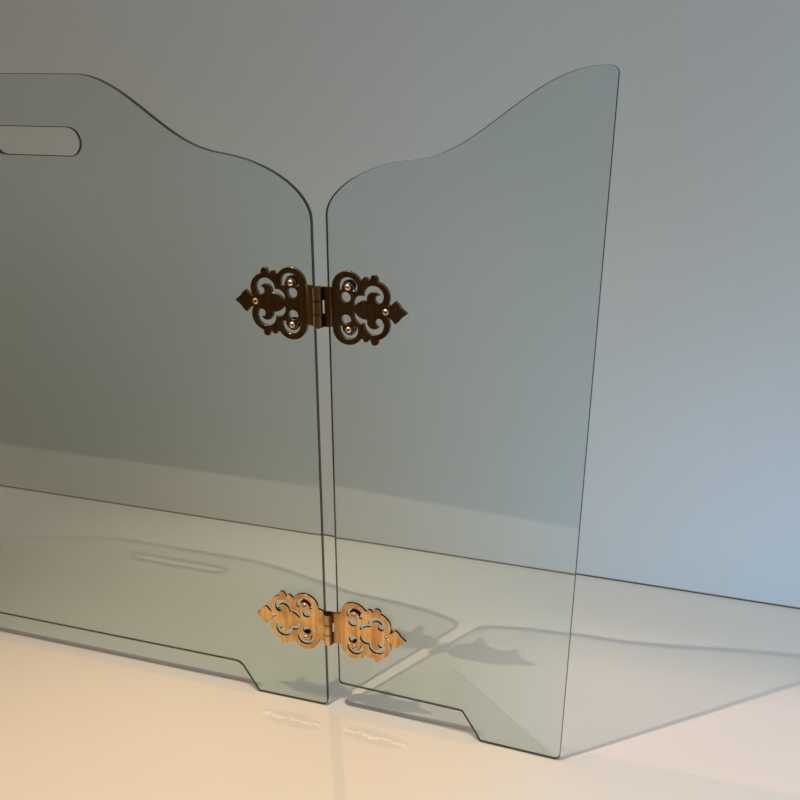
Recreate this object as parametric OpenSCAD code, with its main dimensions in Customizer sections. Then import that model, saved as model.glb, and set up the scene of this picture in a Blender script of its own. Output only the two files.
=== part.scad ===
// Folding glass fireplace screen: a wide centre panel and two wings of toughened glass,
// joined by four pierced brass scroll hinges that are bolted through the glass.
// Units are millimetres, Z is up, the feet stand on Z = 0 and the room side faces -Y.

/* [Glass] */
// Thickness of all three panels
glass_t = 6; // [5:0.5:8]
// Gap between the edges of two neighbouring panels
edge_gap = 15; // [12:0.5:20]

/* [Centre panel] */
// Width of the centre panel
centre_w = 605; // [560:1:760]
// Height of its middle
centre_crown_z = 711; // [680:1:760]
// Height of the shelf between its shoulders and its middle
centre_shelf_z = 641; // [620:1:665]
// Height at which its straight side edges end
centre_shoulder_z = 579; // [550:1:600]
// Width of the round shoulder
centre_shoulder_w = 111; // [60:1:130]
// Fullness of the round shoulder, 2 is a quarter ellipse
centre_shoulder_bend = 1.88; // [1.5:0.01:2.5]
// Distance from the side edge at which the rise to the crown starts
centre_rise_from = 92; // [60:1:110]
// Distance from the side edge at which the crown is reached
centre_rise_to = 246; // [200:1:270]
// Height of the raised stretch between the two feet
centre_clearance = 38.5; // [20:0.5:60]

/* [Hand slot] */
// Length of the hand slot
slot_l = 106; // [80:1:160]
// Height of the hand slot
slot_h = 28; // [22:1:40]
// Height of its middle above the floor
slot_z = 646; // [600:1:660]

/* [Wings] */
// Width of a wing
wing_w = 263; // [220:1:285]
// Height of the wing's outer corner
wing_crown_z = 719.5; // [680:0.5:760]
// Height of the shelf beside the wing's shoulder
wing_shelf_z = 640; // [620:1:665]
// Height at which the straight hinge edge ends
wing_shoulder_z = 585.5; // [550:0.5:600]
// Width of the round shoulder
wing_shoulder_w = 97.5; // [60:0.5:120]
// Fullness of the round shoulder, 2 is a quarter ellipse
wing_shoulder_bend = 1.79; // [1.5:0.01:2.5]
// Distance from the hinge edge at which the rise to the corner starts
wing_rise_from = 85; // [60:1:110]
// Distance from the hinge edge at which the rise ends
wing_rise_to = 251; // [200:1:260]
// Height of the raised stretch beside the wing's foot
wing_clearance = 36.5; // [20:0.5:60]
// Forward fold of the right wing as it stands, negative folds it back
right_fold = 2; // [-48:1:168]
// Forward fold of the left wing as it stands, negative folds it back
left_fold = -40; // [-48:1:168]

/* [Feet and corners] */
// Width of a foot on the floor
foot_w = 90.5; // [60:0.5:110]
// Sideways run of the slanted inner flank of a foot
flank_run = 22.5; // [10:0.5:35]
// Radius where the flank meets the raised stretch of the centre panel
centre_flank_r = 14; // [2:1:18]
// Radius where the flank meets the raised stretch of a wing
wing_flank_r = 4; // [2:1:18]
// Radius of the corners that stand on the floor or point outward
corner_r = 7; // [2:0.5:12]
// Radius of the wing's lower corner at the hinge edge
inner_corner_r = 5; // [2:0.5:12]

/* [Hinge places] */
// Height of the upper hinges' middle
upper_hinge_z = 496; // [430:1:520]
// Height of the lower hinges' middle
lower_hinge_z = 118; // [85:1:200]

/* [Hinge barrel] */
// Outer diameter of the knuckles
knuckle_d = 10; // [9:0.5:11]
// Height of the whole barrel, which is the height of the leaves' necks
barrel_h = 40.5; // [34:0.5:44]
// Gap between two knuckles
knuckle_gap = 0.5; // [0.2:0.1:0.6]
// Diameter of the hinge pin
pin_d = 3; // [2.5:0.1:4.5]
// Radial clearance of the pin in the knuckles
pin_clearance = 0.05; // [0.02:0.01:0.1]
// Length of the pin end below the barrel
pin_end = 1.6; // [0.5:0.1:3]
// Clearance between a knuckle and the notch in the other leaf
notch_clearance = 1.4; // [0.8:0.1:2]

/* [Hinge leaf] */
// Thickness of a leaf
leaf_t = 3; // [2:0.1:3.2]
// Distance from the pin's axis to the glass
axis_stand = 8.2; // [8:0.1:10]
// Distance from the pin's axis to the end of the bent neck
neck_end = 13; // [12:0.5:15]
// Distance from the pin's axis to the tip of the finial
tip_u = 92; // [88:0.2:96]
// Half width of the finial at its barbs
barb_v = 11.8; // [10:0.1:14]
// Half width of the waist that carries the outer screw
waist_v = 5.3; // [4.5:0.1:6]

/* [Fixings] */
// Distance from the pin's axis to the two inner screws
inner_screw_u = 30.2; // [29:0.1:32]
// Distance of the two inner screws above and below the hinge's middle
inner_screw_v = 21.6; // [20.5:0.1:22.5]
// Distance from the pin's axis to the outer screw
outer_screw_u = 69.4; // [68:0.1:71]
// Diameter of the screw shank
screw_d = 4; // [3:0.5:4.5]
// Diameter of the domed slotted screw head
head_d = 6.8; // [6:0.1:8]
// Height of the screw head
head_h = 2.1; // [1.6:0.1:2.6]
// Width of the screwdriver slot
driver_w = 1; // [0.8:0.1:1.4]
// Depth of the screwdriver slot
driver_depth = 1.1; // [0.6:0.1:1.3]
// Diameter of the rubber bush's flange
flange_d = 13; // [10.2:0.1:14]
// Diameter of the rubber seal behind the glass
seal_d = 12; // [11:0.1:13]
// Thickness of the rubber flange between leaf and glass
flange_t = 1; // [0.6:0.1:1.4]
// Diameter of the holes through the glass
glass_hole_d = 9; // [8:0.1:10]
// Thickness of the rubber seal behind the glass
seal_t = 1.2; // [0.8:0.1:2.5]
// Diameter of the brass washer
washer_d = 9.6; // [9:0.1:12]
// Thickness of the brass washer
washer_t = 0.8; // [0.5:0.1:1.5]
// Width of the cap nut across its flats
nut_af = 7; // [7:0.5:9]
// Height of the cap nut's hexagon
nut_hex_h = 3.2; // [2.5:0.1:5]
// Height of the whole cap nut
nut_h = 7.6; // [7:0.1:10]
// Solid crown of the cap nut above its bore
nut_crown_t = 1.5; // [1:0.1:2]
// Gap between the screw's end and the end of the cap nut's bore
screw_end_gap = 0.6; // [0.3:0.1:1]
// Radial clearance of a screw in the pieces it passes through
screw_clearance = 0.1; // [0.05:0.05:0.2]
// Radial clearance of the bush in the glass
bush_clearance = 0.2; // [0.1:0.05:0.4]

/* [Hidden] */
panels = ["centre_panel", "left_wing_panel", "right_wing_panel"];
hinges = ["left_lower", "left_upper", "right_lower", "right_upper"];
hinge_pieces = ["centre_leaf", "wing_leaf", "pin"];
fixed_panels = ["centre", "wing"];
fixings = ["screws", "bushes", "seals", "washers", "nuts"];
$fn = 64;

// Chords that stand for one round corner and for one stretch of top edge
corner_steps = 8;
edge_steps = 44;
// Spacing of the chords along a top edge, above 1 sets them closer at the shoulder
edge_crowding = 1.6;
// Chords along the bend of a hinge neck
neck_steps = 10;
// Turns of the driver slots in the lower, upper and outer screw of a leaf
driver_turns = [-35, 12, 58];
// Overlap that joins two shapes of one solid, and the overshoot of a cut
join = 0.05;
cut = 1;

// Places along Y in a hinge's own frame, where the pin's axis is Y = 0
leaf_back = axis_stand - flange_t;
leaf_front = leaf_back - leaf_t;
glass_back = axis_stand + glass_t;
washer_front = glass_back + seal_t;
nut_front = washer_front + washer_t;
nut_bore_end = nut_front + nut_h - nut_crown_t;
screw_end = nut_bore_end - screw_end_gap;

// Places of the two pin axes
pin_x = centre_w / 2 + edge_gap / 2;
pin_y = -glass_t / 2 - axis_stand;
panel_edge = edge_gap / 2;
wing_end = panel_edge + wing_w;

// Heights of the middle knuckle and of the notches
knuckle_r = knuckle_d / 2;
knuckle_h = (barrel_h - 2 * knuckle_gap) / 3;
notch_h = knuckle_h + 2 * knuckle_gap;
notch_u = knuckle_r + notch_clearance;
bore_d = pin_d + 2 * pin_clearance;
screw_hole_d = screw_d + 2 * screw_clearance;

// Rounds that draw a leaf's face, each given as distance from the pin's axis, distance from the
// hinge's middle, and radius
lobe = [inner_screw_u - 0.2, inner_screw_v - 0.4, 16.2];
crescent = [inner_screw_u + 0.7, inner_screw_v, 9.5];
tab = [inner_screw_u + 0.1, inner_screw_v - 1.7, 6.3];
porthole = [28.3, 11.4, 5];
scroll = [57.5, 13.5, 16.5];
window = [57.4, 14.6, 10];
window_tail = [44.8, 6, 8];
curl = [57.2, 11.7, 7.1];
bead = [62.7, 11.6, 3.9];
motif = [49.5, -4.5, 14.3];
bump = [48.8, 29.8, 3.1];
ear = [57.7, 31.2, 4.3];
ear_notch = [53.1, 33.2, 1.3];
// Height at which both legs of the crescent end
crescent_end = inner_screw_v - 3.2;
// Plate between the lobe, the bump, the ear and the scroll
bridge = [
    beside(lobe, 10, 0), beside(lobe, 11, 9), beside(bump, 0, 0),
    beside(ear, -4, -1), beside(ear, 0, -2), beside(scroll, 0, 0)
];
// Outline of the finial from its throat to its barb, then from the barb to the tip
throat = [scroll[0] + scroll[2] - 1.5, waist_v + 0.2];
barb = [tip_u - 12.7, barb_v];
finial_half = [
    [outer_screw_u - 6, waist_v], throat, beside(throat, 3.2, 2.4), barb, beside(barb, 2.7, -1.9),
    beside(barb, 5.3, -4.8), beside(barb, 6.3, -6.7), beside(barb, 9.3, -8.9), [tip_u, 0]
];
function beside(c, du, dv) = [c[0] + du, c[1] + dv];

// Middle of the standing screen's box, which is set over the origin
function turned(p, fold) = [p[0] * cos(fold) + p[1] * sin(fold), p[1] * cos(fold) - p[0] * sin(fold)];
wing_corners = [[wing_end, axis_stand], [wing_end, glass_back]];
right_reach = [for (p = wing_corners) turned(p, right_fold)];
left_reach = [for (p = wing_corners) turned(p, left_fold)];
box_x = (max([for (p = right_reach) p[0]]) - max([for (p = left_reach) p[0]])) / 2;
reach_y = concat([for (p = concat(right_reach, left_reach)) p[1]], [-knuckle_r, nut_front + nut_h]);
box_y = pin_y + (max(reach_y) + min(reach_y)) / 2;

// Unit vector, and the points of a round of radius r at corner q between p and s
function unit(v) = v / norm(v);
function turn_by(v, a) = [v[0] * cos(a) - v[1] * sin(a), v[0] * sin(a) + v[1] * cos(a)];
function round_corner(p, q, s, r) =
    let (
        a = unit(p - q),
        b = unit(s - q),
        half = acos(a * b) / 2,
        middle = q + unit(a + b) * r / sin(half),
        start = q + a * r / tan(half) - middle,
        sweep = (180 - 2 * half) * (a[0] * b[1] - a[1] * b[0] < 0 ? 1 : -1)
    )
    [for (i = [0 : corner_steps]) middle + turn_by(start, sweep * i / corner_steps)];

// Height of a top edge at distance u from the hinge edge: a round shoulder up to the shelf,
// then a swung rise up to the crown
function shoulder_part(t, bend) = pow(1 - pow(1 - min(t, 1), bend), 1 / bend);
function rise_part(t) = (1 - cos(180 * min(max(t, 0), 1))) / 2;
function centre_top(u) =
    centre_shoulder_z
    + (centre_shelf_z - centre_shoulder_z) * shoulder_part(u / centre_shoulder_w, centre_shoulder_bend)
    + (centre_crown_z - centre_shelf_z)
    * rise_part((u - centre_rise_from) / (centre_rise_to - centre_rise_from));
function wing_top(u) =
    wing_shoulder_z
    + (wing_shelf_z - wing_shoulder_z) * shoulder_part(u / wing_shoulder_w, wing_shoulder_bend)
    + (wing_crown_z - wing_shelf_z) * rise_part((u - wing_rise_from) / (wing_rise_to - wing_rise_from));
function edge_u(i, reach) = reach * pow(i / edge_steps, edge_crowding);

// Right half of the centre panel's outline, from the middle of its raised edge to its crown
function centre_half() =
    let (
        side = centre_w / 2,
        foot_in = side - foot_w,
        flank_top = [foot_in - flank_run, centre_clearance],
        heel = [foot_in, 0],
        toe = [side, 0]
    )
    concat(
        round_corner([0, centre_clearance], flank_top, heel, centre_flank_r),
        round_corner(flank_top, heel, toe, 1),
        round_corner(heel, toe, [side, centre_shoulder_z], corner_r),
        [for (i = [0 : edge_steps]) let (u = edge_u(i, side)) [side - u, centre_top(u)]]
    );

// Outline of a wing, in distance from the pin's axis and height
function wing_outline() =
    let (
        foot_in = wing_end - foot_w,
        root = [panel_edge, wing_clearance],
        flank_top = [foot_in - flank_run, wing_clearance],
        heel = [foot_in, 0],
        toe = [wing_end, 0],
        crown = [wing_end, wing_top(wing_w)],
        before_crown = [wing_end - corner_r, wing_top(wing_w - corner_r)]
    )
    concat(
        round_corner([panel_edge, wing_shoulder_z], root, flank_top, inner_corner_r),
        round_corner(root, flank_top, heel, wing_flank_r),
        round_corner(flank_top, heel, toe, 1),
        round_corner(heel, toe, crown, corner_r),
        round_corner(toe, crown, before_crown, corner_r),
        [
            for (i = [edge_steps : -1 : 0])
            let (u = edge_u(i, wing_w - 2 * corner_r))
            [panel_edge + u, wing_top(u)]
        ]
    );

// Turns a flat shape upright and gives it a thickness from front to back
module upright(front, back) {
    translate([0, back, 0]) rotate([90, 0, 0]) linear_extrude(height = back - front) children();
}

// Lays a round shape's axis along Y with its foot at front
module facing(front) {
    translate([0, front, 0]) rotate([-90, 0, 0]) children();
}

// Puts a piece of a hinge, drawn for the right side with the axis at the origin, on its side
module at_pin(side) {
    translate([-box_x, -box_y, 0])
        if (side < 0) translate([-pin_x, pin_y, 0]) mirror([1, 0, 0]) children();
        else translate([pin_x, pin_y, 0]) children();
}

// Swings what belongs to a wing about its pin
module on_wing(side) {
    at_pin(side) rotate([0, 0, side < 0 ? -left_fold : -right_fold]) children();
}

// Mirrors what is drawn for a wing onto the centre panel's side of the pin
module on_centre(side) {
    at_pin(side) mirror([1, 0, 0]) children();
}

// Places a child at the three screws of the leaf whose hinge is at height z
module at_screws(z) {
    for (v = [-inner_screw_v, inner_screw_v]) translate([inner_screw_u, 0, z + v]) children();
    translate([outer_screw_u, 0, z]) children();
}

// A circle given by place and radius
module disc(c) {
    translate([c[0], c[1]]) circle(r = c[2]);
}

// Toughened glass
module glass_holes() {
    for (z = [lower_hinge_z, upper_hinge_z])
        at_screws(z) facing(axis_stand - cut) cylinder(d = glass_hole_d, h = glass_t + 2 * cut);
}

module hand_slot() {
    run = (slot_l - slot_h) / 2;
    union() {
        for (x = [-run, run]) translate([x, slot_z]) circle(d = slot_h);
        translate([0, slot_z]) square([2 * run, slot_h], center = true);
    }
}

module centre_panel() {
    half = centre_half();
    outline = concat(half, [for (i = [len(half) - 2 : -1 : 0]) [-half[i][0], half[i][1]]]);
    color("lightcyan", 0.5)
        difference() {
            translate([-box_x, -box_y, 0])
                upright(-glass_t / 2, glass_t / 2)
                    difference() {
                        polygon(outline);
                        hand_slot();
                    }
            for (side = [-1, 1]) on_centre(side) glass_holes();
        }
}

module wing_panel(side) {
    color("lightcyan", 0.5)
        on_wing(side)
            difference() {
                upright(axis_stand, glass_back) polygon(wing_outline());
                glass_holes();
            }
}

// Face of a hinge leaf: lobes, scrolls, ears and finial with their windows
module leaf_lobes() {
    disc(lobe);
    disc(scroll);
    disc(bump);
    difference() {
        disc(ear);
        disc(ear_notch);
    }
    polygon(bridge);
}

module leaf_windows() {
    difference() {
        disc(crescent);
        disc(tab);
        square([lobe[0] + lobe[2], crescent_end]);
    }
    disc(porthole);
    difference() {
        union() {
            disc(window);
            disc(window_tail);
        }
        disc(motif);
        disc(curl);
        translate([curl[0], 0]) square([window[2] + 1, bead[1]]);
    }
    disc(bead);
}

module finial() {
    count = len(finial_half);
    polygon(concat(
        finial_half,
        [for (i = [count - 2 : -1 : 0]) [finial_half[i][0], -finial_half[i][1]]]
    ));
}

module leaf_face() {
    difference() {
        union() {
            for (m = [0, 1]) mirror([0, m, 0]) leaf_lobes();
            translate([neck_end - join, -barrel_h / 2]) square([lobe[0] - neck_end, barrel_h]);
            translate([lobe[0] - 4, -lobe[1]]) square([window_tail[0] - lobe[0] + 4, 2 * lobe[1]]);
            translate([window_tail[0] - 2, -scroll[1]])
                square([scroll[0] - window_tail[0] + 8, 2 * scroll[1]]);
            finial();
        }
        for (m = [0, 1]) mirror([0, m, 0]) leaf_windows();
        for (v = [-inner_screw_v, inner_screw_v])
            translate([inner_screw_u, v]) circle(d = screw_hole_d);
        translate([outer_screw_u, 0]) circle(d = screw_hole_d);
    }
}

// Bent neck that carries the leaf forward to the back of the barrel, seen from above
function neck_y(u) = knuckle_r + (leaf_back - knuckle_r) * rise_part((u - knuckle_r) / (neck_end - knuckle_r));

module neck_plan() {
    us = [for (i = [0 : neck_steps]) knuckle_r + (neck_end - knuckle_r) * i / neck_steps];
    polygon(concat(
        [[0, knuckle_r - leaf_t], [0, knuckle_r]],
        [for (u = us) [u, neck_y(u)]],
        [for (i = [neck_steps : -1 : 0]) [us[i], neck_y(us[i]) - leaf_t]]
    ));
}

// One leaf without its knuckles, with notches for the other leaf's knuckles, each [foot, height]
module leaf(notches) {
    difference() {
        union() {
            upright(leaf_front, leaf_back) leaf_face();
            translate([0, 0, -barrel_h / 2]) linear_extrude(height = barrel_h) neck_plan();
        }
        for (z = notches) translate([-cut, -knuckle_r, z[0]])
            cube([notch_u + cut, leaf_back + knuckle_r + cut, z[1]]);
    }
}

module knuckle_at(z) {
    translate([0, 0, z - knuckle_h / 2]) cylinder(r = knuckle_r, h = knuckle_h);
}

module pin_bore() {
    translate([0, 0, -barrel_h / 2 - cut]) cylinder(d = bore_d, h = barrel_h + 2 * cut);
}

module centre_leaf(side, z) {
    outer_h = knuckle_h + knuckle_gap;
    color("goldenrod")
        on_centre(side)
            translate([0, 0, z])
                difference() {
                    union() {
                        leaf([
                            [knuckle_h / 2, outer_h + cut],
                            [-knuckle_h / 2 - outer_h - cut, outer_h + cut]
                        ]);
                        knuckle_at(0);
                    }
                    pin_bore();
                }
}

module wing_leaf(side, z) {
    color("goldenrod")
        on_wing(side)
            translate([0, 0, z])
                difference() {
                    union() {
                        leaf([[-notch_h / 2, notch_h]]);
                        for (s = [-1, 1]) knuckle_at(s * (knuckle_h + knuckle_gap));
                    }
                    pin_bore();
                }
}

module hinge_pin(side, z) {
    color("darkgoldenrod")
        on_wing(side)
            translate([0, 0, z - barrel_h / 2 - pin_end])
                cylinder(d = pin_d, h = barrel_h + pin_end);
}

// Screws, seen from the room as domed slotted heads
module screw(driver_turn) {
    dome_r = (head_d * head_d / 4 + head_h * head_h) / (2 * head_h);
    facing(leaf_front)
        difference() {
            union() {
                intersection() {
                    translate([0, 0, dome_r - head_h]) sphere(r = dome_r);
                    translate([0, 0, -head_h]) cylinder(d = head_d, h = head_h);
                }
                translate([0, 0, -join]) cylinder(d = screw_d, h = screw_end - leaf_front + join);
            }
            rotate([0, 0, driver_turn])
                translate([-head_d, -driver_w / 2, -head_h - cut])
                    cube([2 * head_d, driver_w, driver_depth + cut]);
        }
}

module screws(z) {
    color("gold")
        for (i = [0 : 2])
            translate([
                i < 2 ? inner_screw_u : outer_screw_u,
                0,
                z + (i < 2 ? (2 * i - 1) * inner_screw_v : 0)
            ])
                screw(driver_turns[i]);
}

// Flanged rubber bushes that keep the leaf and the screws off the glass
module bushes(z) {
    color("black")
        at_screws(z)
            difference() {
                union() {
                    facing(leaf_back) cylinder(d = flange_d, h = flange_t);
                    facing(leaf_back)
                        cylinder(d = glass_hole_d - 2 * bush_clearance, h = flange_t + glass_t);
                }
                facing(leaf_back - cut)
                    cylinder(d = screw_hole_d, h = flange_t + glass_t + 2 * cut);
            }
}

// A flat ring on a screw
module ring(front, t, d) {
    difference() {
        facing(front) cylinder(d = d, h = t);
        facing(front - cut) cylinder(d = screw_hole_d, h = t + 2 * cut);
    }
}

module seals(z) {
    color("black") at_screws(z) ring(glass_back, seal_t, seal_d);
}

module washers(z) {
    color("goldenrod") at_screws(z) ring(washer_front, washer_t, washer_d);
}

// Domed cap nuts behind the glass
module nuts(z) {
    color("goldenrod")
        at_screws(z)
            facing(nut_front)
                difference() {
                    union() {
                        cylinder(d = nut_af / cos(30), h = nut_hex_h, $fn = 6);
                        intersection() {
                            translate([0, 0, nut_h - nut_af / 2]) sphere(r = nut_af / 2);
                            cylinder(d = nut_af, h = nut_h);
                        }
                        cylinder(d = nut_af, h = nut_h - nut_af / 2);
                    }
                    translate([0, 0, -cut])
                        cylinder(d = screw_hole_d, h = nut_bore_end - nut_front + cut);
                }
}

module fixing(kind, z) {
    if (kind == "screws") screws(z);
    if (kind == "bushes") bushes(z);
    if (kind == "seals") seals(z);
    if (kind == "washers") washers(z);
    if (kind == "nuts") nuts(z);
}

centre_panel();
wing_panel(-1);  // left_wing_panel
wing_panel(1);  // right_wing_panel
for (i = [0 : 3]) {
    side = i < 2 ? -1 : 1;
    z = i % 2 == 0 ? lower_hinge_z : upper_hinge_z;
    centre_leaf(side, z);
    wing_leaf(side, z);
    hinge_pin(side, z);
    for (kind = fixings) {
        on_centre(side) fixing(kind, z);
        on_wing(side) fixing(kind, z);
    }
}
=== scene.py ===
import math

import bmesh
import bpy
from mathutils import Matrix, Vector
from mathutils.geometry import tessellate_polygon


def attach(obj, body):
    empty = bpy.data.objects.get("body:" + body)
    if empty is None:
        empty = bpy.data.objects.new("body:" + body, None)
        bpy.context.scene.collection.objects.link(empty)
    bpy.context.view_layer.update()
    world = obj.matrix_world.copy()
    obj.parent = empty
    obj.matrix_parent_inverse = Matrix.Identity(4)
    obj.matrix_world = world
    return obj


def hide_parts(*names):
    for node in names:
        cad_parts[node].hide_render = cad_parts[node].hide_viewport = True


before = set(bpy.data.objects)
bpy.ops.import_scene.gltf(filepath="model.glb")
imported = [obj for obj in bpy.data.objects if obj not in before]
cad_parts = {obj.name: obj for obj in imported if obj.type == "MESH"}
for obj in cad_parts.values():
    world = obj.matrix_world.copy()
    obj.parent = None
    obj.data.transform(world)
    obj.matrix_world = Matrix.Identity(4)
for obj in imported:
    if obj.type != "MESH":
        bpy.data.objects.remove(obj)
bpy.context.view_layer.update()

MM = 0.001

# The viewpoint. It stands to the right of the screen and looks down and a little to the left at the
# right wing, so that the left side of the centre panel runs out of the picture.
CAMERA_PLACE = Vector((587.9, -858.9, 714.1)) * MM
CAMERA_RIGHT = Vector((0.95872, 0.28434, 0.00214))
CAMERA_UP = Vector((-0.10350, 0.34195, 0.93400))
CAMERA_FORWARD = Vector((-0.26484, 0.89567, -0.35726))
SENSOR = 36
LENS = 38.72
NEAREST_SEEN = 10 * MM


def put_in(name, data):
    """A new object in the scene."""
    made = bpy.data.objects.new(name, data)
    bpy.context.scene.collection.objects.link(made)
    return made


camera = put_in("camera", bpy.data.cameras.new("camera"))
camera.matrix_world = Matrix.LocRotScale(
    CAMERA_PLACE, Matrix((CAMERA_RIGHT, CAMERA_UP, -CAMERA_FORWARD)).transposed(), None
)
camera.data.sensor_width = SENSOR
camera.data.lens = LENS
camera.data.clip_start = NEAREST_SEEN
bpy.context.scene.camera = camera
bpy.context.scene.view_settings.view_transform = "Standard"


# The floor and the wall. The floor is a pale satin top whose front edge lies a little before the
# screen, the wall behind it is matt grey paint, and past the front edge the room is dark.
class Shade:
    """A socket of a material. Sums written with it add the nodes that work them out."""

    def __init__(self, tree, socket=None):
        self.tree = tree
        self.socket = socket

    def node(self, kind, settings=None, inputs=None, output=0):
        """Adds a node, makes its settings, then fills or links its sockets."""
        made = self.tree.nodes.new(kind)
        for name, value in (settings or {}).items():
            setattr(made, name, value)
        for name, value in (inputs or {}).items():
            if isinstance(value, Shade):
                self.tree.links.new(value.socket, made.inputs[name])
            else:
                made.inputs[name].default_value = value
        return Shade(self.tree, made.outputs[output] if made.outputs else None)

    def maths(self, operation, *values):
        return self.node("ShaderNodeMath", {"operation": operation}, dict(enumerate(values)))

    def __add__(self, other):
        return self.maths("ADD", self, other)

    def __sub__(self, other):
        return self.maths("SUBTRACT", self, other)

    def __rsub__(self, other):
        return self.maths("SUBTRACT", other, self)

    def __mul__(self, other):
        return self.maths("MULTIPLY", self, other)

    def __pow__(self, other):
        return self.maths("POWER", self, other)

    def __abs__(self):
        return self.maths("ABSOLUTE", self)

    __radd__ = __add__
    __rmul__ = __mul__

    def between(self, low, high):
        """0 up to low, 1 from high, and a smooth change from one to the other."""
        return self.node(
            "ShaderNodeMapRange",
            {"interpolation_type": "SMOOTHSTEP"},
            {"Value": self, "From Min": low, "From Max": high},
        )

    def hill(self, rise, top, brink, foot):
        """1 from top to brink, with a smooth slope down to 0 on each side."""
        return self.between(rise, top) * (1 - self.between(brink, foot))

    def colour(self, low, high):
        """The colour low where this is 0, and high where it is 1."""
        return self.node("ShaderNodeMix", {"data_type": "RGBA"}, {0: self, 6: low, 7: high}, 2)

    def mixed(self, low, high):
        """The surface low where this is 0, and high where it is 1."""
        return self.node("ShaderNodeMixShader", None, {0: self, 1: low, 2: high})

    def stretched(self, scale):
        """These coordinates times a scale along each axis."""
        return self.node("ShaderNodeVectorMath", {"operation": "MULTIPLY"}, {0: self, 1: scale})

    def axis(self, which):
        return self.node("ShaderNodeSeparateXYZ", None, {0: self}, "XYZ".index(which))

    def noise(self, scale, detail=3, roughness=0.5):
        """Cloudy values with this many clouds to the metre."""
        return self.node(
            "ShaderNodeTexNoise",
            None,
            {"Vector": self, "Scale": scale, "Detail": detail, "Roughness": roughness},
        )

    def bump(self, height, strength):
        """Normals over this height in metres."""
        return self.node("ShaderNodeBump", None, {"Strength": strength, "Distance": height, "Height": self})


def rgb(red, green, blue):
    return (red, green, blue, 1)


def new_material(name):
    """A material with no nodes yet, and the coordinates of the piece that wears it, in metres."""
    material = bpy.data.materials.new(name)
    material.use_nodes = True
    material.node_tree.nodes.clear()
    return material, Shade(material.node_tree).node("ShaderNodeTexCoord", output=3)


def skin(place, sockets):
    """The surface of a material, with the values of its sockets."""
    return place.node("ShaderNodeBsdfPrincipled", None, sockets)


def coated(place, surface, inside=None):
    """Closes a material with its surface, and with what fills the piece."""
    sockets = {"Surface": surface}
    if inside:
        sockets["Volume"] = inside
    place.node("ShaderNodeOutputMaterial", None, sockets)


def flat_sheet(name, corners, material):
    """A flat stage piece with these corners."""
    mesh = bpy.data.meshes.new(name)
    mesh.from_pydata(corners, [], [tuple(range(len(corners)))])
    mesh.materials.append(material)
    made = put_in(name, mesh)


FLOOR_Z = -0.0002
FLOOR_FRONT = -0.617
FLOOR_BACK = 3.0
ROOM_HALF = 4.0

# The painted light and shade on the floor, in metres. Two numbers say where a smooth change starts and
# ends, and four say where a mark begins, is full, is still full and has gone.
CENTRE_FOOT_X = (0.165, 0.185, 0.266, 0.272)
WING_FOOT_X = (0.440, 0.462, 0.546, 0.550)
PANEL_GAP_X = (0.269, 0.272, 0.284, 0.288)
GAP_TO_WING_X = (0.272, 0.284)
WING_START_X = (0.284, 0.292)
WING_END_X = (0.546, 0.550)
LIT_TO_Y = (-0.089, -0.087)
LIT_WING_SHIFT = 0.007
LIT_FOOT_SHIFT = 0.008
BEHIND_FROM_Y = (-0.071, -0.067)
BEHIND_FOOT_SHIFT = 0.010
RIM_SHADOW_Y = (-0.0715, -0.0700, -0.0640, -0.0620)
RIM_SHADOW_WING_SHIFT = 0.004
RIGHT_PAINT_X = (0.38, 0.62)
BEHIND_PAINT_X = (0.25, 0.60)
FAR_PAINT_X = (0.05, 0.60)
FAR_PAINT_Y = (0.05, 0.22)
STRIPE_AT = 0.2408
STRIPE_LEAN = 0.43
STRIPE_HALF = (0.0055, 0.0085)
SPINDLES_X = (0.235, 0.338)
SPINDLE_Y = -0.1155
SPINDLE_LEAN = 0.05
SPINDLES_TO_METRE = (22, 80)
THREAD_HALF = (0.06, 0.26)
DIM_SHARE = 0.55
WEDGE_X = (0.37, 0.41, 0.538, 0.544)
WEDGE_SLOPE = (0.633, 0.774)
WEDGE_AT = 0.2767
WEDGE_FADE = (-0.002, 0.002)
WEDGE_LINE = (0.0008, 0.0022)
WEDGE_DEPTH = 0.10
FRONT_PAINT = rgb(0.91, 0.80, 0.68)
RIGHT_PAINT = rgb(0.88, 0.85, 0.83)
NEAR_PAINT = rgb(0.83, 0.78, 0.705)
DIM_PAINT = rgb(0.74, 0.69, 0.61)
GLINT_PAINT = rgb(0.99, 0.91, 0.78)
RIM_SHADOW = rgb(0.42, 0.39, 0.37)
BEHIND_LEFT = rgb(0.73, 0.70, 0.63)
BEHIND_RIGHT = rgb(0.965, 0.885, 0.87)
FAR_LEFT = rgb(0.77, 0.775, 0.72)
FAR_RIGHT = rgb(0.635, 0.675, 0.69)
WEDGE_SHADE = rgb(0.0, 0.02, 0.02)
FLOOR_CLOUD = rgb(0.62, 0.58, 0.50)
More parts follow.
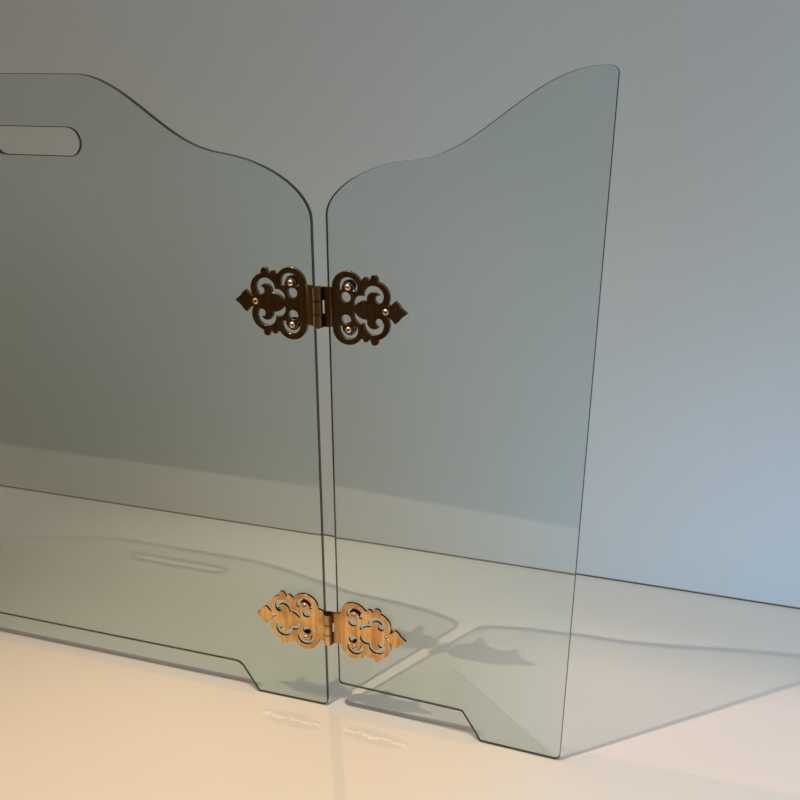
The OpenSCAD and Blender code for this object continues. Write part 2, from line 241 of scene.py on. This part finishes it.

# Before the glass: the lamp's light thrown back by the panels, painted on the floor, with the dim figures
# that the gap and the lower hinges leave in it painted as shade, and painted glints of the hinges' brass.
pale_floor, place = new_material("pale floor")
x, y = place.axis("X"), place.axis("Y")
feet = x.hill(*CENTRE_FOOT_X) + x.hill(*WING_FOOT_X)
wing_shift = LIT_WING_SHIFT * x.between(*GAP_TO_WING_X)
lit = 1 - (y + wing_shift - LIT_FOOT_SHIFT * feet).between(*LIT_TO_Y)
paint = lit.colour(NEAR_PAINT, FRONT_PAINT)
dim = DIM_SHARE * (1 - abs(x + STRIPE_LEAN * y - STRIPE_AT).between(*STRIPE_HALF)) * lit
paint = dim.colour(paint, DIM_PAINT)
wobble = place.noise(150, 3, 0.6)
drift = place.noise(70, 2)
# Each lower hinge leaves a painted dim spindle in the thrown light, with a painted glint running through
# it.
for spindle_x in SPINDLES_X:
    along = SPINDLES_TO_METRE[0] * (x - spindle_x)
    over = SPINDLES_TO_METRE[1] * (y + SPINDLE_LEAN * (x - spindle_x) - SPINDLE_Y)
    inside = 1 - (along * along + over * over + 0.8 * wobble).between(1.0, 1.35)
    thread = 1 - abs(over + 1.2 * drift - 0.6).between(*THREAD_HALF)
    glint = thread * (1 - (along * along).between(0.55, 0.85)) * wobble.between(0.36, 0.48)
    paint = glint.colour((DIM_SHARE * inside).colour(paint, DIM_PAINT), GLINT_PAINT)
# Further right the front floor is painted greyer: painted light, where less of the warm lamp falls.
paint = x.between(*RIGHT_PAINT_X).colour(paint, RIGHT_PAINT)

# Behind the glass, painted light and shade: cooler to the right and towards the wall, a painted shadow
# wedge behind the wing, and the painted shadow of the panels' raised lower edges, a dark line under them.
past_wing = WEDGE_SLOPE[0] * x + WEDGE_SLOPE[1] * y - WEDGE_AT
line = 1 - abs(past_wing).between(*WEDGE_LINE)
wedge = WEDGE_DEPTH * (1 - past_wing.between(*WEDGE_FADE))
shaded = x.hill(*WEDGE_X) * (wedge + WEDGE_DEPTH * line)
# The floor colour behind the glass changes across and back as painted light.
back = x.between(*BEHIND_PAINT_X).colour(BEHIND_LEFT, BEHIND_RIGHT)
far = x.between(*FAR_PAINT_X).colour(FAR_LEFT, FAR_RIGHT)
back = y.between(*FAR_PAINT_Y).colour(back, far)
back = shaded.colour(back, WEDGE_SHADE)
behind = (y + BEHIND_FOOT_SHIFT * feet).between(*BEHIND_FROM_Y)
paint = behind.colour(paint, back)
# The painted shadow of the raised lower edges, left out at the feet, the gap and past the wing's end.
rim_shadow_band = (y + RIM_SHADOW_WING_SHIFT * x.between(*WING_START_X)).hill(*RIM_SHADOW_Y) * (1 - feet)
rim_shadow_band = rim_shadow_band * (1 - x.hill(*PANEL_GAP_X)) * (1 - x.between(*WING_END_X))
paint = rim_shadow_band.colour(paint, RIM_SHADOW)

cloud = place.noise(5, 4).between(0.3, 0.7)
coated(
    place,
    skin(
        place,
        {
            "Base Color": (cloud * 0.06).colour(paint, FLOOR_CLOUD),
            "Roughness": 0.42 + 0.08 * cloud,
            "Specular IOR Level": 0.35,
            "Normal": place.noise(900, 2).bump(0.00004, 0.15),
        },
    ),
)
flat_sheet(
    "floor",
    [
        (-ROOM_HALF, FLOOR_FRONT, FLOOR_Z), (ROOM_HALF, FLOOR_FRONT, FLOOR_Z),
        (ROOM_HALF, FLOOR_BACK, FLOOR_Z), (-ROOM_HALF, FLOOR_BACK, FLOOR_Z),
    ],
    pale_floor,
)

ROOM_FLOOR_Z = -0.002
ROOM_FRONT = -8.0
ROOM_DARK = rgb(0.012, 0.010, 0.009)

dark_floor, place = new_material("dark floor")
coated(place, skin(place, {"Base Color": ROOM_DARK, "Roughness": 0.9}))
flat_sheet(
    "room_floor",
    [
        (-2 * ROOM_HALF, ROOM_FRONT, ROOM_FLOOR_Z), (2 * ROOM_HALF, ROOM_FRONT, ROOM_FLOOR_Z),
        (2 * ROOM_HALF, FLOOR_BACK, ROOM_FLOOR_Z), (-2 * ROOM_HALF, FLOOR_BACK, ROOM_FLOOR_Z),
    ],
    dark_floor,
)

WALL_Y = 0.297
WALL_TOP = 3.2
JOINT_Z = (0.0018, 0.0038)
WALL_RISE_Z = (0.05, 0.6)
WALL_ACROSS_X = (0.1, 0.75)
WALL_LOW_LEFT = rgb(0.635, 0.60, 0.535)
WALL_LOW_RIGHT = rgb(0.65, 0.735, 0.785)
WALL_HIGH_LEFT = rgb(0.705, 0.71, 0.665)
WALL_HIGH_RIGHT = rgb(0.672, 0.645, 0.565)
WALL_MOTTLE = rgb(0.30, 0.31, 0.30)
WALL_JOINT = rgb(0.10, 0.085, 0.07)

# The wall colour holds painted light: it turns bluish low on the right, where the daylight falls.
wall_paint, place = new_material("wall paint")
rise = place.axis("Z").between(*WALL_RISE_Z)
right = place.axis("X").between(*WALL_ACROSS_X)
low = right.colour(WALL_LOW_LEFT, WALL_LOW_RIGHT)
high = right.colour(WALL_HIGH_LEFT, WALL_HIGH_RIGHT)
mottle = place.noise(3, 4).between(0.25, 0.75)
paint = (mottle * 0.05).colour(rise.colour(low, high), WALL_MOTTLE)
painted = skin(
    place,
    {
        "Base Color": place.axis("Z").between(*JOINT_Z).colour(WALL_JOINT, paint),
        "Roughness": 0.7 + 0.1 * mottle,
        "Specular IOR Level": 0.2,
        "Normal": place.noise(450, 3).bump(0.0002, 0.2),
    },
)
from_behind = place.node("ShaderNodeNewGeometry", output=6)
coated(place, from_behind.mixed(painted, place.node("ShaderNodeBsdfTransparent")))
flat_sheet(
    "wall",
    [
        (-ROOM_HALF, WALL_Y, 0), (ROOM_HALF, WALL_Y, 0),
        (ROOM_HALF, WALL_Y, WALL_TOP), (-ROOM_HALF, WALL_Y, WALL_TOP),
    ],
    wall_paint,
)

# The light. One warm lamp hangs over the screen and draws the shadows, and the rest is soft light
# from all round, cool on the right and dark low down on the camera's side.
LAMP_PLACE = Vector((28.1, -496.3, 1797.3)) * MM
LAMP_AIM = Vector((420, -540, 0)) * MM
LAMP_RADIUS = 5 * MM
LAMP_POWER = 66
LAMP_BLEND = 1
LAMP_CONE = 70
LAMP_COLOUR = (1.0, 0.785, 0.545)
DAY_PLACE = Vector((1700, -900, 450)) * MM
DAY_AIM = Vector((700, 297, 250)) * MM
DAY_SIZE = 0.9
DAY_POWER = 12
DAY_COLOUR = (0.31, 0.62, 1.0)
SKY = rgb(0.575, 0.475, 0.365)
SKY_RIGHT = rgb(0.58, 0.475, 0.36)
SKY_DARK = rgb(0.036, 0.022, 0.011)


def hung_light(name, kind, hung_at, aim, power, colour):
    """A light at a place, turned towards its aim."""
    made = put_in(name, bpy.data.lights.new(name, kind))
    made.location = hung_at
    made.rotation_euler = (aim - hung_at).to_track_quat("-Z", "Y").to_euler()
    made.data.energy = power
    made.data.color = colour
    return made


lamp = hung_light("lamp", "SPOT", LAMP_PLACE, LAMP_AIM, LAMP_POWER, LAMP_COLOUR)
lamp.data.shadow_soft_size = LAMP_RADIUS
lamp.data.spot_size = math.radians(LAMP_CONE)
lamp.data.spot_blend = LAMP_BLEND
lamp.data.cycles.use_multiple_importance_sampling = False

daylight = hung_light("daylight", "AREA", DAY_PLACE, DAY_AIM, DAY_POWER, DAY_COLOUR)
daylight.data.size = DAY_SIZE
daylight.visible_camera = False
daylight.visible_transmission = False
daylight.visible_glossy = False

world = bpy.data.worlds.new("room")
bpy.context.scene.world = world
world.use_nodes = True
world.node_tree.nodes.clear()
toward = Shade(world.node_tree).node("ShaderNodeTexCoord")
low_in_front = (-1 * toward.axis("Y")).between(0.05, 0.6) * (1 - toward.axis("Z").between(0.12, 0.55))
sky = toward.axis("X").between(0.0, 0.9).colour(SKY, SKY_RIGHT)
sky = low_in_front.colour(sky, SKY_DARK)
glow = toward.node("ShaderNodeBackground", None, {"Color": sky, "Strength": 1})
toward.node("ShaderNodeOutputWorld", None, {"Surface": glow})

# The three panels. Each is 6 mm toughened float glass, cut and drilled before it is toughened, with
# its edges ground flat, the two arrises rounded off, and the whole rim polished.
ARRIS = 0.6 * MM
ARRIS_STEPS = 3
WELDED = 0.002 * MM
FLAT_WITHIN = math.radians(0.3)
SAME_WAY = 0.9999
TOWARDS_FRONT = -0.3
GLASS_IOR = 1.52
GREEN_TINT = rgb(0.30, 0.78, 0.62)
GREEN_DEPTH = 9
GLANCE = 0.04
CLEAR_FACE = rgb(0.90, 0.94, 0.95)
CLEAR_SHADOW = rgb(0.95, 0.98, 0.96)
RIM_PALE = rgb(0.62, 0.76, 0.74)
RIM_SCUFFED = rgb(0.54, 0.70, 0.68)
RIM_SHADE_PAINT = rgb(0.006, 0.014, 0.012)
RIM_SHEEN_PAINT = rgb(0.33, 0.37, 0.36)
RIM_CAST = rgb(0.75, 0.85, 0.83)


def glazed(place, surface, let_by, cast):
    """Closes a glass material. Lamps shine through it by a share, and a green tint fills it."""
    to_lamp = place.node("ShaderNodeLightPath", output=1)
    window = place.node("ShaderNodeBsdfTransparent", None, {"Color": cast})
    tint = place.node("ShaderNodeVolumeAbsorption", None, {"Color": GREEN_TINT, "Density": GREEN_DEPTH})
    coated(place, (to_lamp * let_by).mixed(surface, window), tint)


clear_glass, place = new_material("clear glass")
smear = place.stretched((1, 1, 0.35)).noise(7, 5, 0.6).between(0.52, 0.75)
edge_on = place.node("ShaderNodeLayerWeight", None, {"Blend": 0.5}, 1)
clear_face = skin(
    place,
    {
        "Base Color": CLEAR_FACE,
        "Roughness": 0.004 + 0.02 * smear,
        "IOR": GLASS_IOR,
        "Specular IOR Level": 0.65,
        "Transmission Weight": 1,
    },
)
glazed(place, clear_face, (1 - GLANCE) * (1 - edge_on ** 5), CLEAR_SHADOW)

polished_rim, place = new_material("polished glass rim")
scuffs = place.noise(60, 4).between(0.45, 0.8)
rim = skin(
    place,
    {
        "Base Color": scuffs.colour(RIM_PALE, RIM_SCUFFED),
        "Roughness": 0.05 + 0.10 * scuffs,
        "IOR": GLASS_IOR,
        "Transmission Weight": 1,
        "Normal": place.noise(1400, 2).bump(0.00002, 0.25),
    },
)
depth = skin(
    place,
    {"Base Color": RIM_SHADE_PAINT, "Roughness": 0.25, "IOR": GLASS_IOR, "Specular IOR Level": 0.3},
)
rim_sheen = skin(
    place,
    {"Base Color": RIM_SHEEN_PAINT, "Roughness": 0.4 + 0.1 * scuffs, "IOR": GLASS_IOR},
)
along, up = place.axis("X"), place.axis("Z")
level = abs(place.node("ShaderNodeNewGeometry", output=1).axis("Z"))
# The rim is mostly painted near black, painted shade for the light lost in the glass's edge, darker still
# near the floor.
rim = (0.90 + 0.08 * (1 - up.between(0.05, 0.10))).mixed(rim, depth)
# The wing's top rim is painted paler and rougher, a painted sheen for the light it catches.
wing_top = level.between(0.2, 0.6) * up.between(0.4, 0.5) * along.between(0.295, 0.325)
rim = (0.85 * wing_top).mixed(rim, rim_sheen)
glazed(place, rim, 0.12 + 0.28 * along.between(0.30, 0.45), RIM_CAST)


def plain_solid(node):
    """A CAD node's shape with its corners joined and its flat faces whole."""
    solid = bmesh.new()
    solid.from_mesh(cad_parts[node].data)
    bmesh.ops.remove_doubles(solid, verts=solid.verts, dist=WELDED)
    bmesh.ops.dissolve_limit(solid, angle_limit=FLAT_WITHIN, verts=solid.verts, edges=solid.edges)
    solid.normal_update()
    return solid


def rims(solid, facing):
    """The closed rows of points round the faces that look one way, the longest row first."""
    front = [face for face in solid.faces if face.normal.dot(facing) > SAME_WAY]
    follow = {}
    for face in front:
        for loop in face.loops:
            if sum(face_beside in front for face_beside in loop.edge.link_faces) == 1:
                follow[loop.vert] = loop.link_loop_next.vert
    rows = []
    while follow:
        start = next(iter(follow))
        row, point = [start.co.copy()], follow.pop(start)
        while point is not start:
            row.append(point.co.copy())
            point = follow.pop(point)
        rows.append(row)
    return sorted(rows, key=len, reverse=True)


def drawn_in(row, facing, depth):
    """The row moved into the glass by a depth, square to its own line."""
    moved = []
    for i, here in enumerate(row):
        before = facing.cross(here - row[i - 1]).normalized()
        after = facing.cross(row[(i + 1) % len(row)] - here).normalized()
        moved.append(here + (before + after) * (depth / (1 + before.dot(after))))
    return moved


def rim_profile(thickness):
    """How far in and how deep the rows of the rim lie, from the front face to the back."""
    turns = [math.pi / 2 * i / ARRIS_STEPS for i in range(ARRIS_STEPS + 1)]
    front = [(ARRIS * (1 - math.sin(turn)), ARRIS * (1 - math.cos(turn))) for turn in turns]
    return front + [(inward, thickness - down) for inward, down in reversed(front)]


def flat_face(points, ends, facing, looks_back):
    """Triangles over a face whose outline and holes are runs of points, all wound the same way."""
    order = [i for start, count in ends for i in range(start, start + count)]
    rows = [[points[i] for i in range(start, start + count)] for start, count in ends]
    triangles = []
    for triangle in tessellate_polygon(rows):
        corners = [order[i] for i in triangle]
        a, b, c = (points[i] for i in corners)
        if ((b - a).cross(c - a).dot(facing) < 0) != looks_back:
            corners.reverse()
        triangles.append(corners)
    return triangles


def ground_panel(name, node, body):
    """A panel with its faces flat, its rim ground square and its arrises rounded."""
    solid = plain_solid(node)
    ahead = [face for face in solid.faces if face.normal.y < TOWARDS_FRONT]
    facing = max(ahead, key=lambda face: face.calc_area()).normal.copy()
    depths = [vert.co.dot(facing) for vert in solid.verts]
    profile = rim_profile(max(depths) - min(depths))
    rows = rims(solid, facing)
    solid.free()
    points, ground, fronts, backs = [], [], [], []
    for row in rows:
        start, count = len(points), len(row)
        for inward, down in profile:
            points += [point - facing * down for point in drawn_in(row, facing, inward)]
        last = len(points) - count
        fronts.append((start, count))
        backs.append((last, count))
        for level in range(start, last, count):
            for i in range(count):
                here, beside = level + i, level + (i + 1) % count
                ground.append((here, here + count, beside + count, beside))
    flat = flat_face(points, fronts, facing, False) + flat_face(points, backs, facing, True)
    mesh = bpy.data.meshes.new(name)
    mesh.from_pydata(points, [], ground + flat)
    mesh.polygons.foreach_set("material_index", [1] * len(ground) + [0] * len(flat))
    mesh.materials.append(clear_glass)
    mesh.materials.append(polished_rim)
    mesh.shade_smooth()
    panel = put_in(name, mesh)
    panel.modifiers.new("even light", "WEIGHTED_NORMAL").keep_sharp = True
    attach(panel, body)
    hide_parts(node)


for body in ("centre", "left_wing", "right_wing"):
    ground_panel(f"{body}_glass", f"{body}_panel", body)

# The hinge leaves. Each is a flat cast brass plate 3 mm thick, pierced with scrolls, with a joggled
# neck and turned knuckles, brushed up and down, lacquered, and worn bright along its front edges,
# which are painted paler still as a painted highlight.
EDGE_ROUND = 0.24 * MM
KNUCKLE_REACH = 5.6 * MM
NECK_REACH = 13.5 * MM
SQUARE_CUT = 0.3
LEVEL_END = 0.9
ON_THE_FRONT = 0.9
SHARPEST_PLAIN = math.radians(28)
HINGES = ("left_lower", "left_upper", "right_lower", "right_upper")


def middle(node):
    """The middle of a node's points."""
    points = [vert.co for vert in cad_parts[node].data.vertices]
    return sum(points, Vector()) / len(points)


def way_out(hinge, panel):
    """The way that a leaf's flat face looks, off the glass."""
    solid = plain_solid(f"{hinge}_{panel}_leaf")
    normal = max(solid.faces, key=lambda face: face.calc_area()).normal.copy()
    solid.free()
    ahead = middle(f"{hinge}_{panel}_leaf") - middle(f"{hinge}_{panel}_nuts")
    return normal if ahead.dot(normal) > 0 else -normal


def wing_body(hinge):
    return hinge.split("_")[0] + "_wing"


def middle_knuckle(hinge):
    """The heights of the ends of the centre leaf's knuckle."""
    axis = middle(f"{hinge}_pin")
    points = [vert.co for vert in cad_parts[f"{hinge}_centre_leaf"].data.vertices]
    heights = [point.z for point in points if (point - axis).to_2d().length < KNUCKLE_REACH]
    return min(heights), max(heights)


LEAVES = [
    (hinge, panel, body)
    for hinge in HINGES
    for panel, body in (("centre", "centre"), ("wing", wing_body(hinge)))
]
BARREL_X = middle("right_lower_pin").x
SEAMS = middle_knuckle("right_lower") + middle_knuckle("right_upper")
SEAM_HALF = (0.6 * MM, 1.5 * MM)
BARREL_FACE = (-0.0052, -0.0050, 0.0015, 0.0040)
WING_CREASE = (0.0015, 0.0040, 0.0048, 0.0085)
WING_NECK = (0.0040, 0.0060, 0.0070, 0.0200)
CENTRE_NECK = (-0.0150, -0.0080, -0.0060, -0.0048)
NECK_SHADE = rgb(0.36, 0.16, 0.025)
CREASE_SHADE = rgb(0.065, 0.028, 0.010)


def brushed(name, dark, light, tarnish, rough, rough_change, streak_bump):
    """Brass brushed up and down, with clouds and spots of darker lacquer, and painted shade by the barrel.
    """
    material, place = new_material(name)
    streaks = place.stretched((1, 1, 0.03)).noise(260, 4, 0.6)
    hairs = place.stretched((1, 1, 0.02)).noise(2600, 3, 0.6)
    clouds = place.noise(30, 4, 0.6).between(0.38, 0.68)
    spots = place.noise(420, 3, 0.65).between(0.66, 0.74)
    past_barrel, up = abs(place.axis("X")) - BARREL_X, place.axis("Z")
    high = up.between(0.2, 0.4)
    neck = past_barrel.hill(*WING_NECK)
    # Painted shade in the creases beside the barrel, on the necks, deeper on the upper hinges, and in the
    # knuckles' seams.
    crease_shade = 0.80 * past_barrel.hill(*WING_CREASE) + 0.50 * high * neck
    crease_shade += (0.05 + 0.70 * high) * past_barrel.hill(*CENTRE_NECK)
    on_barrel = past_barrel.hill(*BARREL_FACE)
    for seam in SEAMS:
        crease_shade += 0.6 * on_barrel * (1 - abs(up - seam).between(*SEAM_HALF))
    tone = streaks.between(0.3, 0.7).colour(dark, light)
    tone = (clouds * 0.6).colour(tone, tarnish)
    tone = (spots * 0.55).colour(tone, tarnish)
    # The wing neck is painted a shaded brown.
    tone = (0.6 * neck).colour(tone, NECK_SHADE)
    surface = skin(
        place,
        {
            "Base Color": crease_shade.colour(tone, CREASE_SHADE),
            "Metallic": 1,
            "Roughness": rough + rough_change * (clouds + hairs.between(0.35, 0.65)) + 0.12 * spots,
            "Coat Weight": 0.08,
            "Coat Roughness": 0.12,
            "Normal": (0.6 * hairs + 0.4 * streaks).bump(0.00003, streak_bump),
        },
    )
    coated(place, surface)
    return material


antique_brass = brushed(
    "antique brass",
    dark=rgb(0.56, 0.31, 0.105), light=rgb(0.85, 0.54, 0.235), tarnish=rgb(0.30, 0.145, 0.045),
    rough=0.17, rough_change=0.05, streak_bump=0.35,
)
# The rounded front edges: brighter worn brass, painted paler still as a painted highlight.
worn_highlit_brass = brushed(
    "worn brass edge and painted highlight",
    dark=rgb(0.82, 0.62, 0.44), light=rgb(0.98, 0.84, 0.70), tarnish=rgb(0.50, 0.32, 0.18),
    rough=0.20, rough_change=0.06, streak_bump=0.2,
)
# Near black: patina on the leaves' cut sides, and painted shade on knuckle ends and on the screws' dome
# rims and slots.
dark_patina_and_shade = brushed(
    "dark patina",
    dark=rgb(0.018, 0.010, 0.005), light=rgb(0.045, 0.024, 0.010), tarnish=rgb(0.010, 0.007, 0.005),
    rough=0.48, rough_change=0.08, streak_bump=0.2,
)
dull_brass = brushed(
    "dull barrel brass",
    dark=rgb(0.52, 0.31, 0.115), light=rgb(0.80, 0.53, 0.24), tarnish=rgb(0.28, 0.14, 0.045),
    rough=0.27, rough_change=0.06, streak_bump=0.35,
)
LEAF_FINISHES = [antique_brass, worn_highlit_brass, dark_patina_and_shade, dull_brass]
FACE, EDGE, DARK_SIDE, NECK = range(4)


def fettled(name, node, body, finishes, rounding, finish_of=None, left_square=None):
    """A metal or rubber piece in the shape of its CAD node, its edges rounded over.

    A face wears the finish with the number finish_of(face), or the first; rounded edges wear the
    second. Edges for which left_square(edge) holds stay as they are.
    """
    solid = plain_solid(node)
    numbers = [finish_of(face) if finish_of else FACE for face in solid.faces]
    weight = solid.edges.layers.float.new("bevel_weight_edge")
    for edge in solid.edges:
        if edge.calc_face_angle(0) > SHARPEST_PLAIN:
            edge.smooth = not (left_square and left_square(edge))
            edge[weight] = 1 if edge.smooth else 0
    mesh = bpy.data.meshes.new(name)
    solid.to_mesh(mesh)
    solid.free()
    for finish in finishes:
        mesh.materials.append(finish)
    mesh.polygons.foreach_set("material_index", numbers)
    mesh.shade_smooth()
    piece = put_in(name, mesh)
    bevel = piece.modifiers.new("rounded edges", "BEVEL")
    bevel.width = rounding
    bevel.segments = 2
    bevel.limit_method = "WEIGHT"
    bevel.use_clamp_overlap = False
    bevel.harden_normals = False
    bevel.material = min(EDGE, len(finishes) - 1)
    bevel.miter_outer = "MITER_SHARP"
    piece.modifiers.new("even light", "WEIGHTED_NORMAL").keep_sharp = True
    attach(piece, body)
    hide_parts(node)


def cast_leaf(hinge, panel, body):
    """A leaf with bright front edges, a dull neck and knuckles, and dark patina and painted shade on its
    cut sides and ends.
    """
    axis = middle(f"{hinge}_pin")
    facing = way_out(hinge, panel)

    def reach(point):
        return (point - axis).to_2d().length

    def finish_of(face):
        away = reach(face.calc_center_median())
        on_cut_side = away > KNUCKLE_REACH and abs(face.normal.dot(facing)) < SQUARE_CUT
        if on_cut_side or abs(face.normal.z) > LEVEL_END:
            return DARK_SIDE
        return FACE if away > NECK_REACH else NECK

    def left_square(edge):
        on_neck = min(reach(vert.co) for vert in edge.verts) < NECK_REACH
        return on_neck or not any(face.normal.dot(facing) > ON_THE_FRONT for face in edge.link_faces)

    fettled(
        f"{hinge}_{panel}_plate", f"{hinge}_{panel}_leaf", body,
        LEAF_FINISHES, EDGE_ROUND, finish_of, left_square,
    )


for hinge, panel, body in LEAVES:
    cast_leaf(hinge, panel, body)

# The hinge pins. A drawn rod is pressed through the knuckles, browned, with its end left showing
# below the barrel.
PIN_ROUND = 0.35 * MM
browned = brushed(
    "browned pin",
    dark=rgb(0.030, 0.017, 0.010), light=rgb(0.060, 0.034, 0.018), tarnish=rgb(0.015, 0.010, 0.007),
    rough=0.4, rough_change=0.05, streak_bump=0.1,
)
for hinge in HINGES:
    fettled(f"{hinge}_rod", f"{hinge}_pin", wing_body(hinge), [browned], PIN_ROUND)

# The screws. Turned brass with a low domed head and a driver slot, polished brighter than the
# leaves, three through each leaf and its panel.
SCREW_ROUND = 0.16 * MM
SLOT_FLOOR = 0.4 * MM
DOME_LEAN = 0.55
FLAT_TOP = 0.95
screw_brass = brushed(
    "screw brass",
    dark=rgb(0.92, 0.70, 0.50), light=rgb(0.99, 0.86, 0.72), tarnish=rgb(0.60, 0.40, 0.24),
    rough=0.18, rough_change=0.03, streak_bump=0.08,
)


def domed_screws(hinge, panel, body):
    """The screws of a leaf, dark on their shanks, with painted shade round the rims of their domes and in
    their slots.
    """
    facing = way_out(hinge, panel)
    node = f"{hinge}_{panel}_screws"
    top = max(vert.co.dot(facing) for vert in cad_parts[node].data.vertices)

    def finish_of(face):
        turned = face.normal.dot(facing)
        sunk = top - face.calc_center_median().dot(facing) > SLOT_FLOOR
        return DARK_SIDE if turned < DOME_LEAN or turned > FLAT_TOP and sunk else FACE

    fettled(
        f"{hinge}_{panel}_domed_screws", node, body,
        [screw_brass, screw_brass, dark_patina_and_shade], SCREW_ROUND, finish_of,
    )


for hinge, panel, body in LEAVES:
    domed_screws(hinge, panel, body)

# The rubber. A flanged bush keeps leaf and screw off the glass, and a seal lies behind the glass;
# both are moulded black rubber with a dull, slightly dusty skin.
RUBBER_ROUND = 0.25 * MM
RUBBER_BLACK = rgb(0.010, 0.010, 0.011)
RUBBER_BLOOM = rgb(0.030, 0.029, 0.028)
rubber, place = new_material("black rubber")
bloom = place.noise(160, 4, 0.6).between(0.4, 0.75)
coated(
    place,
    skin(
        place,
        {
            "Base Color": bloom.colour(RUBBER_BLACK, RUBBER_BLOOM),
            "Roughness": 0.62 + 0.2 * bloom,
            "Specular IOR Level": 0.3,
            "Normal": place.noise(2400, 2).bump(0.00003, 0.4),
        },
    ),
)
for hinge, panel, body in LEAVES:
    for made, kind in (("flanged_bushes", "bushes"), ("round_seals", "seals")):
        fettled(
            f"{hinge}_{panel}_{made}", f"{hinge}_{panel}_{kind}", body,
            [rubber], RUBBER_ROUND,
        )

# The washers and cap nuts behind the glass. Turned and milled brass, less polished than the screws,
# with crisp but broken edges.
NUT_ROUND = 0.2 * MM
SHORT_EDGE = 1.5 * MM
fixing_brass = brushed(
    "turned brass",
    dark=rgb(0.62, 0.42, 0.19), light=rgb(0.80, 0.58, 0.30), tarnish=rgb(0.38, 0.22, 0.09),
    rough=0.20, rough_change=0.05, streak_bump=0.2,
)


def short(edge):
    return edge.calc_length() < SHORT_EDGE


for hinge, panel, body in LEAVES:
    for made, kind, left_square in (("flat_washers", "washers", None), ("cap_nuts", "nuts", short)):
        fettled(
            f"{hinge}_{panel}_{made}", f"{hinge}_{panel}_{kind}", body,
            [fixing_brass], NUT_ROUND, left_square=left_square,
        )
